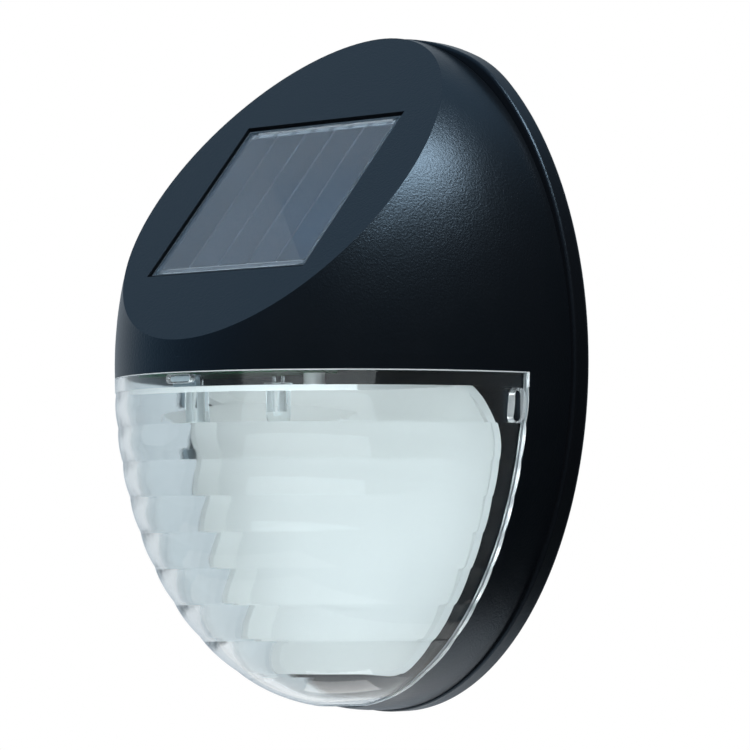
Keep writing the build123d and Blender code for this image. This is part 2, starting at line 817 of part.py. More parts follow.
with BuildPart() as battery_cell:
    with BuildSketch(Plane.YZ.offset(cell_left)):
        with Locations((-cell_depth, bay_z)):
            Circle(cell_radius)
    extrude(amount=cell_body)
    fillet(battery_cell.edges().filter_by(GeomType.CIRCLE), cell_round)
    with BuildSketch(Plane.YZ.offset(cell_right)):
        with Locations((-cell_depth, bay_z)):
            Circle(cell_cap_radius)
    extrude(amount=cell_cap)
save(battery_cell.part, "battery_cell")

tab_x = bay_half_length + tab_reach

with BuildPart() as positive_contact:
    with BuildSketch(Plane.YZ.offset(cap_x)):
        with Locations((-cell_depth, bay_z)):
            Rectangle(contact_size, contact_size)
    extrude(amount=contact_thick)
    with Locations((cap_x, -tab_depth, tab_z)):
        Box(tab_x - cap_x, contact_thick, tab_height, align=(Align.MIN, Align.CENTER, Align.CENTER))
save(positive_contact.part, "positive_contact")

with BuildPart() as negative_contact:
    with BuildSketch(Plane.YZ.offset(-plate_x)):
        with Locations((-cell_depth, bay_z)):
            Rectangle(contact_size, contact_size)
    extrude(amount=contact_thick)
    with Locations((-cap_x, -tab_depth, tab_z)):
        Box(tab_x - cap_x, contact_thick, tab_height, align=(Align.MAX, Align.CENTER, Align.CENTER))
    # Leaf, bent up from the plate's foot until its crest bears on the cell
    crest_x = cell_left - contact_thick
    foot_z = bay_z - contact_size / 2
    with BuildSketch(wall_plane(cell_depth - contact_size / 4)):
        with BuildLine():
            Polyline(
                (-cap_x, foot_z),
                (-cap_x, foot_z + 2 * contact_thick),
                (crest_x, bay_z),
                (crest_x, bay_z + leaf_rise),
                (crest_x + contact_thick, bay_z + leaf_rise),
                (crest_x + contact_thick, bay_z - contact_thick),
                (-cap_x + contact_thick, foot_z),
                close=True,
            )
        make_face()
    extrude(amount=contact_size / 2)
save(negative_contact.part, "negative_contact")

# Battery lid, flush with the back, with two locating ribs and its captive screws
rib_z = bay_half_height - door_gap - door_rib / 2

with BuildPart() as battery_door:
    extrude(door_outline(0, 0), amount=door_thick)
    with BuildSketch(wall_plane(door_thick)):
        with Locations((0, bay_z + rib_z), (0, bay_z - rib_z)):
            Rectangle(bay_width - 2 * door_gap, door_rib)
    extrude(amount=door_rib_height)
    with BuildSketch(wall_plane(0)):
        with Locations(*door_screw_points):
            Circle(screw_radius + fit_gap)
    extrude(amount=door_thick, mode=Mode.SUBTRACT)
    with BuildSketch(wall_plane(0)):
        with Locations(*door_screw_points):
            Circle(screw_head_radius + fit_gap)
    extrude(amount=screw_head, mode=Mode.SUBTRACT)
save(battery_door.part, "battery_door")

door_screw_length = door_boss_front - screw_head - door_rib
door_screws = screw(screw_head, door_screw_points, screw_radius, door_screw_length, screw_head_radius,
                    screw_head, True)
save(door_screws, "door_screws")

# Slide switch: metal frame on the well's floor, body with terminals, and the knob at its off end
foot_height = knob_size + 2 * (knob_gap + tab_gap)

with BuildPart() as switch_frame:
    with BuildSketch(wall_plane(well_front)):
        with Locations((switch_x, switch_z)):
            Rectangle(frame_width, frame_height)
            Rectangle(knob_size + switch_travel + 2 * knob_gap, knob_size + 2 * knob_gap, mode=Mode.SUBTRACT)
        with Locations(*switch_screw_points):
            Circle(switch_screw_radius + fit_gap, mode=Mode.SUBTRACT)
    extrude(amount=frame_thick)
save(switch_frame.part, "switch_frame")

with BuildPart() as switch_body:
    with BuildSketch(wall_plane(frame_front)):
        with Locations((switch_x, switch_z)):
            Rectangle(body_width, body_height)
    extrude(amount=body_thick)
    with BuildSketch(wall_plane(frame_front)):
        with Locations((switch_x, switch_z)):
            Rectangle(foot_width + switch_travel + 2 * knob_gap, foot_height + 2 * knob_gap)
    extrude(amount=foot_thick + 2 * knob_gap, mode=Mode.SUBTRACT)
    with BuildSketch(wall_plane(body_front)):
        with Locations((switch_x, switch_z)):
            with GridLocations(switch_pin_pitch, 1, 3, 1):
                Rectangle(switch_pin_size, switch_pin_size)
    extrude(amount=pin_reach)
save(switch_body.part, "switch_body")

knob_x = switch_x - switch_travel / 2
with BuildPart() as switch_knob:
    with BuildSketch(wall_plane(knob_tip)):
        with Locations((knob_x, switch_z)):
            Rectangle(knob_size, knob_size)
    extrude(amount=frame_front + knob_gap - knob_tip)
    with BuildSketch(wall_plane(frame_front + knob_gap)):
        with Locations((knob_x, switch_z)):
            Rectangle(foot_width, foot_height)
    extrude(amount=foot_thick)
save(switch_knob.part, "switch_knob")

switch_screws = screw(frame_front, switch_screw_points, switch_screw_radius, switch_screw_length,
                      switch_screw_head_radius, switch_screw_head, False)
save(switch_screws, "switch_screws")

# Leads. Each starts square on its solder pad and ends upright on the board or square on a terminal
tab_wire_x = tab_x - 2 * wire_radius
tab_face = tab_depth + contact_thick / 2
wire_front = bay_outer_front + lead_clear
turn_z = circuit_top + lead_turn
switch_turn = pin_tip + 2 * wire_bend

panel_leads = []
for side in (1, -1):
    solder = panel_plane.from_local_coords((side * panel_lead_x, 0, -board_back))
    inside = panel_plane.from_local_coords((side * panel_lead_x, 0, -board_back - panel_lead_drop))
    panel_leads.append(wire([
        solder,
        inside,
        (side * panel_lead_x, inside.Y - lead_clear, turn_z + lead_turn),
        (side * board_lead_x, -lead_end_depth, turn_z),
        (side * board_lead_x, -lead_end_depth, circuit_top),
    ]))
save(Compound(panel_leads), "panel_leads")

plus_lead = wire([
    (tab_wire_x, -tab_face, tab_z),
    (tab_wire_x, -wire_front, tab_z),
    (tab_wire_x, -wire_front - lead_clear, (tab_z + switch_z) / 2),
    (switch_x + switch_pin_pitch, -wire_front, switch_z),
    (switch_x + switch_pin_pitch, -pin_tip, switch_z),
])
minus_lead = wire([
    (-tab_wire_x, -tab_face, tab_z),
    (-tab_wire_x, -wire_front, tab_z),
    (-tab_wire_x, -wire_front - lead_clear, (tab_z + turn_z) / 2),
    (-battery_lead_x, -lead_end_depth, turn_z),
    (-battery_lead_x, -lead_end_depth, circuit_top),
])
save(Compound([plus_lead, minus_lead]), "battery_leads")

switch_lead = wire([
    (switch_x, -pin_tip, switch_z),
    (switch_x, -switch_turn, switch_z),
    (switch_x, -(switch_turn + lead_end_depth) / 2, turn_z),
    (battery_lead_x, -lead_end_depth, turn_z),
    (battery_lead_x, -lead_end_depth, circuit_top),
])
save(switch_lead, "switch_lead")
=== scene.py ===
from math import cos, radians, sin

import bmesh
import bpy
from mathutils import Matrix, Vector


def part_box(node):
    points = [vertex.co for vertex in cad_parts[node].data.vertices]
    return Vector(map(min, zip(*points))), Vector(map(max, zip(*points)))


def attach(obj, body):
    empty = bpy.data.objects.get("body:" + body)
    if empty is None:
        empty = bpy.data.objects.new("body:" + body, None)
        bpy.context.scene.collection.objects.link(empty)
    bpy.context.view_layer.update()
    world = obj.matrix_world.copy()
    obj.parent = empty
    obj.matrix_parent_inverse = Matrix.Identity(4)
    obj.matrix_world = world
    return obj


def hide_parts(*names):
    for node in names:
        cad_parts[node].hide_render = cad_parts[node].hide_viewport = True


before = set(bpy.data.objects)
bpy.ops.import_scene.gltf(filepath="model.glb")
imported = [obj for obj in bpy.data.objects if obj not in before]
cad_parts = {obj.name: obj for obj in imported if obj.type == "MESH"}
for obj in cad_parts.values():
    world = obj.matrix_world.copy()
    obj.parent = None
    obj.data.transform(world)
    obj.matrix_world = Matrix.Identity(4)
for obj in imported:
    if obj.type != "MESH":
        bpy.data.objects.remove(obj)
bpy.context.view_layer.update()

# Rear cover, battery lid and front housing: black ABS mouldings, screwed together from behind.
# Their faces carry the fine pebble of a spark-eroded mould, which breaks the shine into a soft, cool sheen.
MM = 0.001


def linear(hex_colour):
    """An sRGB hex value as linear RGBA."""
    shares = [int(hex_colour[i:i + 2], 16) / 255 for i in (1, 3, 5)]
    return [c / 12.92 if c <= 0.04045 else ((c + 0.055) / 1.055) ** 2.4 for c in shares] + [1.0]


def add_node(tree, kind, settings=None, inputs=None):
    """A node with its settings, and its inputs as values or as links from other sockets."""
    node = tree.nodes.new(kind)
    for name, value in (settings or {}).items():
        setattr(node, name, value)
    for name, value in (inputs or {}).items():
        if isinstance(value, bpy.types.NodeSocket):
            tree.links.new(value, node.inputs[name])
        else:
            node.inputs[name].default_value = value
    return node


def new_material(name, inputs):
    """A material whose shader starts with these constant inputs, with its tree and Object coordinates."""
    material = bpy.data.materials.new(name)
    material.use_nodes = True
    tree = material.node_tree
    shader = tree.nodes["Principled BSDF"]
    for socket, value in inputs.items():
        shader.inputs[socket].default_value = value
    place = add_node(tree, "ShaderNodeTexCoord").outputs["Object"]
    return material, tree, shader, place


def two_tone(tree, shader, share, first, second):
    """Colour the surface by a socket that runs from 0, the first tone, to 1, the second."""
    tones = [linear(tone) if isinstance(tone, str) else tone for tone in (first, second)]
    colour = add_node(tree, "ShaderNodeMix", {"data_type": "RGBA"}, {
        "Factor": share, "A": tones[0], "B": tones[1]}).outputs["Result"]
    tree.links.new(colour, shader.inputs["Base Color"])
    return colour


def mottle(tree, shader, place, size, dark, light):
    """Vary the colour between two tones in soft patches of a real size."""
    patches = add_node(tree, "ShaderNodeTexNoise", None, {
        "Vector": place, "Scale": 1 / size, "Detail": 3.0})
    return two_tone(tree, shader, patches.outputs["Fac"], dark, light)


def roughen(tree, shader, place, size, height, strength):
    """Raise a fine grain of a real size and height."""
    grain = add_node(tree, "ShaderNodeTexNoise", None, {
        "Vector": place, "Scale": 1 / size, "Detail": 2.0, "Roughness": 0.6})
    bump = add_node(tree, "ShaderNodeBump", None, {
        "Height": grain.outputs["Fac"], "Strength": strength, "Distance": height})
    tree.links.new(bump.outputs["Normal"], shader.inputs["Normal"])


def dress(material, *names):
    """Give CAD nodes this material."""
    for name in names:
        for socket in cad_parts[name].material_slots:
            socket.material = material


# Black ABS, moulded: a pebble of about 0.5 mm, whose sheen turns cool against the black.
abs_gloss = {"IOR": 1.5, "Specular IOR Level": 0.38, "Specular Tint": linear("#b9e0ff")}
abs_patch = 12 * MM
pebble = 0.5 * MM
black_abs, tree, shader, place = new_material("black_abs_pebbled", {"Roughness": 0.32, **abs_gloss})
black = mottle(tree, shader, place, abs_patch, "#040609", "#07090c")
roughen(tree, shader, place, pebble, height=0.06 * MM, strength=0.9)
# The left snap prong is painted pale, as painted light: it takes the grey of the light that shows through the
# lens there.
left_prong = {"X": (-47.7 * MM, 0.95 * MM), "Y": (-18.6 * MM, 3.45 * MM), "Z": (-10.0 * MM, 3.4 * MM)}
spread = add_node(tree, "ShaderNodeSeparateXYZ", None, {"Vector": place})
pale = 1.0
for axis, (middle, half) in left_prong.items():
    near = add_node(tree, "ShaderNodeMath", {"operation": "COMPARE"}, {
        0: spread.outputs[axis], 1: middle, 2: half})
    pale = add_node(tree, "ShaderNodeMath", {"operation": "MULTIPLY"}, {
        0: near.outputs[0], 1: pale}).outputs[0]
# Painted light: inside the prong's box the black turns to this pale grey.
two_tone(tree, shader, pale, black, "#b4c0c6")
dress(black_abs, "front_housing")

# Black ABS, blasted: the face towards the wall is painted a shade lighter than the black rim around it, as
# painted light.
rim_starts = -0.9 * MM
wall_face_starts = -0.3 * MM
blasted_abs, tree, shader, place = new_material("black_abs_blasted", {"Roughness": 0.34, **abs_gloss})
grey = mottle(tree, shader, place, abs_patch, "#1b1e21", "#232629")
roughen(tree, shader, place, pebble, height=0.05 * MM, strength=0.7)
spread = add_node(tree, "ShaderNodeSeparateXYZ", None, {"Vector": place})
painted_light_face = add_node(tree, "ShaderNodeMapRange", None, {
    "Value": spread.outputs["Y"], "From Min": rim_starts, "From Max": wall_face_starts})
# Painted light: the wall face is lifted to grey, while the rim stays black.
two_tone(tree, shader, painted_light_face.outputs["Result"], "#050608", grey)
dress(blasted_abs, "rear_cover", "battery_door")

# Gasket ring behind the housing's tongue, and tape frame under the panel.
# Both are closed-cell foam, die cut from sheet, with open cells of about 0.6 mm at the cut.
foam_cell = 0.6 * MM
black_foam, tree, shader, place = new_material("black_foam_cut", {
    "Roughness": 0.9, "Specular IOR Level": 0.1})
mottle(tree, shader, place, foam_cell, "#08090a", "#1a1c1e")
roughen(tree, shader, place, foam_cell, height=0.1 * MM, strength=0.6)
dress(black_foam, "rear_gasket", "panel_seal")

# Battery cell: a steel can in a plain, glossy shrink film.
# It lies across the back, between a plated plate and a bent leaf of plated spring steel.
green_film, tree, shader, place = new_material("green_shrink_film", {"Roughness": 0.28, "IOR": 1.5})
mottle(tree, shader, place, 5 * MM, "#2f6f4f", "#357a57")
dress(green_film, "battery_cell")

plated_steel, tree, shader, place = new_material("nickel_plated_steel", {"Metallic": 1.0, "Roughness": 0.28})
mottle(tree, shader, place, 2 * MM, "#c3c4c0", "#d2d2ce")
dress(plated_steel, "positive_contact", "negative_contact", "switch_frame")


# Screws: zinc-plated pan heads with a cross recess. Four join cover and housing, two stay captive in the lid.
# Each is turned from one profile, head down in its counterbore, and two crossed bars cut the recess.
def place_piece(shape, name, material, body, sharp=35):
    """Make the bmesh a finished piece on a body, smooth except at edges sharper than an angle."""
    mesh = bpy.data.meshes.new(name)
    shape.to_mesh(mesh)
    shape.free()
    mesh.shade_smooth()
    mesh.set_sharp_from_angle(angle=radians(sharp))
    mesh.materials.append(material)
    piece = bpy.data.objects.new(name, mesh)
    bpy.context.scene.collection.objects.link(piece)
    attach(piece, body)
    return piece


weld = 0.001 * MM


def turned(shape, profile, centre, axis, steps=32):
    """Spin a profile of (radius, distance) about an axis through a centre."""
    along = Vector(axis)
    out = along.orthogonal().normalized()
    verts = [shape.verts.new(Vector(centre) + out * radius + along * distance)
             for radius, distance in profile]
    edges = [shape.edges.new(pair) for pair in zip(verts, verts[1:])]
    bmesh.ops.spin(shape, geom=verts + edges, cent=centre, axis=axis, angle=radians(360), steps=steps,
                   use_merge=True)
    bmesh.ops.remove_doubles(shape, verts=shape.verts, dist=weld)
    bmesh.ops.recalc_face_normals(shape, faces=shape.faces)


def cut_cross(piece, centres, length, width, depth):
    """Cut a cross recess into the heads of screws that face the wall."""
    shape = bmesh.new()
    for x, z in centres:
        for turn in (0, 90):
            bar = bmesh.ops.create_cube(shape, size=1.0)["verts"]
            bmesh.ops.scale(shape, verts=bar, vec=(length, 2 * depth, width))
            bmesh.ops.rotate(shape, verts=bar, cent=(0, 0, 0), matrix=Matrix.Rotation(radians(turn), 3, "Y"))
            bmesh.ops.translate(shape, verts=bar, vec=(x, 0, z))
    mesh = bpy.data.meshes.new("cross_cutter")
    shape.to_mesh(mesh)
    shape.free()
    cutter = bpy.data.objects.new("cross_cutter", mesh)
    bpy.context.scene.collection.objects.link(cutter)
    cut = piece.modifiers.new("cross", "BOOLEAN")
    cut.object = cutter
    cut.operation = "DIFFERENCE"
    cut.solver = "EXACT"
    cut.use_self = True
    bpy.context.view_layer.update()
    finished = bpy.data.meshes.new_from_object(piece.evaluated_get(bpy.context.evaluated_depsgraph_get()))
    piece.modifiers.clear()
    piece.data = finished
    bpy.data.objects.remove(cutter)


zinc_steel, tree, shader, place = new_material("zinc_plated_steel", {"Metallic": 1.0, "Roughness": 0.34})
mottle(tree, shader, place, 1.5 * MM, "#a9aaa6", "#bdbdb8")
dress(zinc_steel, "board_screws", "switch_screws")

head_radius = 2.4 * MM
head_height = 1.2 * MM
shank_radius = 1.25 * MM
tip_radius = 0.6 * shank_radius
tip_length = 0.6 * MM
crown = [(0, 0.05 * MM), (1.5 * MM, 0.08 * MM), (2.1 * MM, 0.25 * MM), (head_radius, 0.6 * MM)]
for screws, body in (("housing_screws", "light"), ("door_screws", "lid")):
    low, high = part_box(screws)
    length = -low.y
    columns = (low.x + head_radius, high.x - head_radius)
    rows = {round(low.z + head_radius, 6), round(high.z - head_radius, 6)}
    centres = [(x, z) for x in columns for z in sorted(rows)]
    shank = [(head_radius, head_height), (shank_radius, head_height), (shank_radius, length - tip_length),
             (tip_radius, length), (0, length)]
    shape = bmesh.new()
    for x, z in centres:
        turned(shape, crown + shank, (x, 0, z), (0, -1, 0))
    piece = place_piece(shape, screws + "_turned", zinc_steel, body)
    cut_cross(piece, centres, length=2.6 * MM, width=0.55 * MM, depth=0.75 * MM)
    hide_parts(screws)

# Slide switch: a phenolic body behind a plated frame, with a black nylon knob in the well at the back.
# The knob is a stem on a broad foot, with three grooves moulded across its end for a fingertip.
phenolic, tree, shader, place = new_material("brown_phenolic", {"Roughness": 0.5, "IOR": 1.55})
mottle(tree, shader, place, 0.8 * MM, "#4a2f1c", "#5b3a24")
dress(phenolic, "switch_body")

black_nylon, tree, shader, place = new_material("black_nylon_moulded", {"Roughness": 0.35, "IOR": 1.53})
mottle(tree, shader, place, 1.0 * MM, "#101113", "#181a1c")
low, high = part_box("switch_knob")
middle = (low + high) / 2
knob_size = 3.0 * MM
foot_back = -5.25 * MM
groove_depth = 0.35 * MM
strips = 7
shape = bmesh.new()
foot = bmesh.ops.create_cube(shape, size=1.0)["verts"]
bmesh.ops.scale(shape, verts=foot, vec=(high.x - low.x, foot_back - low.y, high.z - low.z))
bmesh.ops.translate(shape, verts=foot, vec=(middle.x, (foot_back + low.y) / 2, middle.z))
stem = bmesh.ops.create_cube(shape, size=1.0)["verts"]
bmesh.ops.scale(shape, verts=stem, vec=(knob_size, high.y - foot_back, knob_size))
bmesh.ops.translate(shape, verts=stem, vec=(middle.x, (high.y + foot_back) / 2, middle.z))
level_edges = [e for e in shape.edges if all(v in stem for v in e.verts)
               and abs(e.verts[0].co.x - e.verts[1].co.x) > knob_size / 2]
bmesh.ops.subdivide_edges(shape, edges=level_edges, cuts=strips - 1, use_grid_fill=True)
end_faces = [f for f in shape.faces if f.normal.y > 0.9 and f.calc_center_median().y > high.y - groove_depth]
end_faces.sort(key=lambda f: f.calc_center_median().x)
for groove in end_faces[1::2]:
    pushed = bmesh.ops.extrude_discrete_faces(shape, faces=[groove])["faces"][0]
    bmesh.ops.translate(shape, verts=pushed.verts, vec=(0, -groove_depth, 0))
bmesh.ops.remove_doubles(shape, verts=shape.verts, dist=weld)
knob = place_piece(shape, "switch_knob_ridged", black_nylon, "knob")
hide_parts("switch_knob")

# Solar panel: five silicon strips on a laminate, cast under clear resin, and stuck down in its pocket.
# Thin gaps between the strips show as light lines, and tinned busbars run along both ends.
silicon, tree, shader, place = new_material("blue_grey_silicon", {"Roughness": 0.4, "IOR": 1.6})
mottle(tree, shader, place, 9 * MM, "#2d3f52", "#344658")
dress(silicon, "solar_cells")

slope = radians(41.5)
slope_up = (0.0, sin(slope), cos(slope))
panel_middle = (0.0, -38.5 * MM, 35.24 * MM)


def panel_offsets(tree, place):
    """Signed sockets for the distance across the panel and up the slope from its middle."""
    from_middle = add_node(tree, "ShaderNodeVectorMath", {"operation": "SUBTRACT"}, {
        0: place, 1: panel_middle})
    across = add_node(tree, "ShaderNodeVectorMath", {"operation": "DOT_PRODUCT"}, {
        0: from_middle.outputs["Vector"], 1: (1.0, 0.0, 0.0)})
    rise = add_node(tree, "ShaderNodeVectorMath", {"operation": "DOT_PRODUCT"}, {
        0: from_middle.outputs["Vector"], 1: slope_up})
    return across.outputs["Value"], rise.outputs["Value"]


# Laminate: pale where it shows between the strips, dark at the border.
border_starts = 20 * MM
laminate, tree, shader, place = new_material("panel_laminate", {"Roughness": 0.6})
across, rise = panel_offsets(tree, place)
offset = add_node(tree, "ShaderNodeMath", {"operation": "ABSOLUTE"}, {0: across})
gap = add_node(tree, "ShaderNodeMath", {"operation": "LESS_THAN"}, {0: offset.outputs[0], 1: border_starts})
two_tone(tree, shader, gap.outputs[0], "#364553", "#dbe5ec")
dress(laminate, "panel_board")

# Busbar: tinned copper, bright in dashes of about 4 mm where the upper ends of the strips are soldered.
half_pitch = 2.8 * MM
half_dash = 2.1 * MM
busbar, tree, shader, place = new_material("tinned_busbar", {"Roughness": 0.45})
across, rise = panel_offsets(tree, place)
dash = add_node(tree, "ShaderNodeMath", {"operation": "PINGPONG"}, {0: across, 1: half_pitch})
solder = add_node(tree, "ShaderNodeMath", {"operation": "LESS_THAN"}, {0: dash.outputs[0], 1: half_dash})
upper = add_node(tree, "ShaderNodeMath", {"operation": "GREATER_THAN"}, {0: rise, 1: 0.0})
bright = add_node(tree, "ShaderNodeMath", {"operation": "MULTIPLY"}, {
    0: solder.outputs[0], 1: upper.outputs[0]})
two_tone(tree, shader, bright.outputs[0], "#3a4a58", "#70808d")
dress(busbar, "cell_ribbons")

# Resin: water clear on its face, with edges blackened by the adhesive that holds it.
clear_half_width = 22.3 * MM
clear_half_length = 21.7 * MM
clear_resin, tree, shader, place = new_material("clear_resin", {"Roughness": 0.06, "IOR": 1.45})
across, rise = panel_offsets(tree, place)
clear = 1.0
for distance, limit in ((across, clear_half_width), (rise, clear_half_length)):
    offset = add_node(tree, "ShaderNodeMath", {"operation": "ABSOLUTE"}, {0: distance})
    inside = add_node(tree, "ShaderNodeMath", {"operation": "LESS_THAN"}, {0: offset.outputs[0], 1: limit})
    clear = add_node(tree, "ShaderNodeMath", {"operation": "MULTIPLY"}, {
        0: inside.outputs[0], 1: clear}).outputs[0]
two_tone(tree, shader, clear, "#232b32", "#f2f6f9")
tree.links.new(clear, shader.inputs["Transmission Weight"])
dress(clear_resin, "panel_cover")

# Circuit board: green laminate on two standoffs above the shelf, with the controller and a lacquered coil.
# The leads are stranded copper in PVC, soldered to the board, the switch and the contacts.
green_laminate, tree, shader, place = new_material("green_laminate", {"Roughness": 0.4, "IOR": 1.55})
mottle(tree, shader, place, 3 * MM, "#1d5a35", "#256a40")
dress(green_laminate, "circuit_board")
chip_case, tree, shader, place = new_material("black_epoxy_moulded", {"Roughness": 0.55})
mottle(tree, shader, place, 0.7 * MM, "#17181a", "#222426")
dress(chip_case, "controller_chip")
lacquer, tree, shader, place = new_material("pale_green_lacquer", {"Roughness": 0.4})
mottle(tree, shader, place, 1.5 * MM, "#7fa088", "#8fb097")
dress(lacquer, "inductor")
red_pvc, tree, shader, place = new_material("red_pvc", {"Roughness": 0.45})
mottle(tree, shader, place, 4 * MM, "#a2211b", "#b32a22")
dress(red_pvc, "panel_leads", "battery_leads", "switch_lead")

# Reflector: a white ABS dish with a shelf, polished in the mould and staked to the bulkhead by its pegs.
# It looks clean, with a soft gloss. The clip at the shelf's front, which fills the lens's window, is painted
# grey as painted shade.
clip_back = -62 * MM
clip_foot = -6.1 * MM
white_abs, tree, shader, place = new_material("white_abs_polished", {"Roughness": 0.3, "IOR": 1.52})
white = mottle(tree, shader, place, 22 * MM, "#efeeea", "#f6f4f0")
spread = add_node(tree, "ShaderNodeSeparateXYZ", None, {"Vector": place})
front = add_node(tree, "ShaderNodeMath", {"operation": "LESS_THAN"}, {0: spread.outputs["Y"], 1: clip_back})
top = add_node(tree, "ShaderNodeMath", {"operation": "GREATER_THAN"}, {0: spread.outputs["Z"], 1: clip_foot})
clip = add_node(tree, "ShaderNodeMath", {"operation": "MULTIPLY"}, {0: front.outputs[0], 1: top.outputs[0]})
# Painted shade: the clip's nub is greyed as if it lay in shadow.
two_tone(tree, shader, clip.outputs[0], white, "#77868d")
dress(white_abs, "reflector")

# Lamps: two 5 mm bodies of clear epoxy through the shelf, each cast round a frame of silvered steel.
# The wide leg of the frame ends in the cup for the die, and the slim leg beside it takes the bond wire.
clear_epoxy, tree, shader, place = new_material("clear_epoxy_cast", {
    "Base Color": linear("#f7fbfb"), "Roughness": 0.02, "IOR": 1.53, "Transmission Weight": 1.0})
dress(clear_epoxy, "leds")
silvered, tree, shader, place = new_material("silvered_steel", {"Metallic": 0.35, "Roughness": 0.4})
mottle(tree, shader, place, 1.0 * MM, "#eef0ef", "#fafbfa")

low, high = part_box("leds")
flange_radius = 2.9 * MM
lamp_depth = (low.y + high.y) / 2
leg_thick = 0.45 * MM
leg_height = 4.6 * MM
leg_rise = 5.1 * MM
leg_gap = 0.35 * MM
leg_edge = 0.06 * MM
# Each leg: its side of the lamp, its width at the top and its width at the foot.
wide_leg = (1, 0.6 * MM, 2.0 * MM)
slim_leg = (-1, 0.5 * MM, 0.9 * MM)
shape = bmesh.new()
for lamp_x in (low.x + flange_radius, high.x - flange_radius):
    for side, top_width, foot_width in (wide_leg, slim_leg):
        leg = bmesh.ops.create_cube(shape, size=1.0)["verts"]
        bmesh.ops.scale(shape, verts=leg, vec=(1.0, leg_thick, leg_height))
        for end, width in ((1, top_width), (-1, foot_width)):
            ring = [v for v in leg if v.co.z * end > 0]
            bmesh.ops.scale(shape, verts=ring, vec=(width, 1, 1))
        leg_x = lamp_x + side * (leg_gap + foot_width / 2) - leg_gap
        bmesh.ops.translate(shape, verts=leg, vec=(leg_x, lamp_depth, low.z + leg_rise))
bmesh.ops.bevel(shape, geom=shape.edges[:], offset=leg_edge, offset_type="OFFSET", affect="EDGES",
                segments=2, profile=0.5, material=-1)
place_piece(shape, "lamp_frames", silvered, "light")

# Lens: clear polystyrene with level ribs that spread the light, snapped over the housing's prongs.
# Its tint dims what lies behind to a cool grey, and an IOR below polystyrene's keeps the ribs calm.
# Along the mould's parting edges and round the windows it lets less light through and shows its pale tint, a
# painted highlight in light lines.
clear_styrene, tree, shader, place = new_material("clear_polystyrene_polished", {
    "Base Color": linear("#e2ebef"), "Roughness": 0.05, "IOR": 1.33})
line = 0.15 * MM
top_edge = -3.1 * MM
back_edge = -16.9 * MM
window_highlight = 0.4
edge_clearness = 0.6
spread = add_node(tree, "ShaderNodeSeparateXYZ", None, {"Vector": place})
x, y, z = (spread.outputs[axis] for axis in "XYZ")
# Painted highlight: thin bands along the top and back edges, and round each window below.
edges = [add_node(tree, "ShaderNodeMath", {"operation": "GREATER_THAN"}, {0: way, 1: edge - line})
         for way, edge in ((z, top_edge), (y, back_edge))]
# Each window is a slot with round ends: its long way and middle, its short way and middle, and its width.
window_length = 7.0 * MM
side_window = (z, -10.0 * MM, y, -19.1 * MM, 2.8 * MM)
front_window = (x, 0.0, z, -4.5 * MM, 1.7 * MM)
for long_way, long_middle, short_way, short_middle, width in (side_window, front_window):
    radius = width / 2
    half_run = window_length / 2 - radius
    run = add_node(tree, "ShaderNodeMath", {"operation": "SUBTRACT"}, {0: long_way, 1: long_middle})
    run = add_node(tree, "ShaderNodeMath", {"operation": "ABSOLUTE"}, {0: run.outputs[0]})
    run = add_node(tree, "ShaderNodeMath", {"operation": "SUBTRACT"}, {0: run.outputs[0], 1: half_run})
    run = add_node(tree, "ShaderNodeMath", {"operation": "MAXIMUM"}, {0: run.outputs[0], 1: 0.0})
    off = add_node(tree, "ShaderNodeMath", {"operation": "SUBTRACT"}, {0: short_way, 1: short_middle})
    flat = add_node(tree, "ShaderNodeCombineXYZ", None, {"X": run.outputs[0], "Y": off.outputs[0]})
    reach = add_node(tree, "ShaderNodeVectorMath", {"operation": "LENGTH"}, {0: flat.outputs["Vector"]})
    rim = add_node(tree, "ShaderNodeMath", {"operation": "LESS_THAN"}, {
        0: reach.outputs["Value"], 1: radius + line})
    edges.append(add_node(tree, "ShaderNodeMath", {"operation": "MULTIPLY"}, {
        0: rim.outputs[0], 1: window_highlight}))
edge_highlight = edges[0].outputs[0]
for edge in edges[1:]:
    edge_highlight = add_node(tree, "ShaderNodeMath", {"operation": "MAXIMUM"}, {
        0: edge_highlight, 1: edge.outputs[0]}).outputs[0]
clear = add_node(tree, "ShaderNodeMapRange", None, {"Value": edge_highlight, "To Min": 1.0, "To Max": edge_clearness})
tree.links.new(clear.outputs["Result"], shader.inputs["Transmission Weight"])
dress(clear_styrene, "lens")

# Stage: a plain pale floor well below the object, which hangs on a wall.
# To the eye and through clear plastic it looks nearly white, and it keeps a soft shadow.
floor_half = 0.85
floor_middle = (-0.55, 0, -0.8)
white_share = 0.85
paper_patch = 0.4
shape = bmesh.new()
bmesh.ops.create_grid(shape, x_segments=1, y_segments=1, size=floor_half)
bmesh.ops.translate(shape, verts=shape.verts, vec=floor_middle)
mesh = bpy.data.meshes.new("floor")
shape.to_mesh(mesh)
shape.free()
floor = bpy.data.objects.new("floor", mesh)
bpy.context.scene.collection.objects.link(floor)
pale_paper, tree, shader, place = new_material("pale_paper", {"Roughness": 0.85})
mottle(tree, shader, place, paper_patch, "#e2e2e2", "#e8e8e8")
rays = add_node(tree, "ShaderNodeLightPath")
direct = add_node(tree, "ShaderNodeMath", {"operation": "MAXIMUM"}, {
    0: rays.outputs["Is Camera Ray"], 1: rays.outputs["Is Transmission Ray"]})
share = add_node(tree, "ShaderNodeMath", {"operation": "MULTIPLY"}, {0: direct.outputs[0], 1: white_share})
white = add_node(tree, "ShaderNodeEmission", None, {"Color": (1.0, 1.0, 1.0, 1.0), "Strength": 1.0})
paper = add_node(tree, "ShaderNodeMixShader", None, {
    "Fac": share.outputs[0], 1: shader.outputs["BSDF"], 2: white.outputs["Emission"]})
tree.links.new(paper.outputs["Shader"], tree.nodes["Material Output"].inputs["Surface"])
mesh.materials.append(pale_paper)

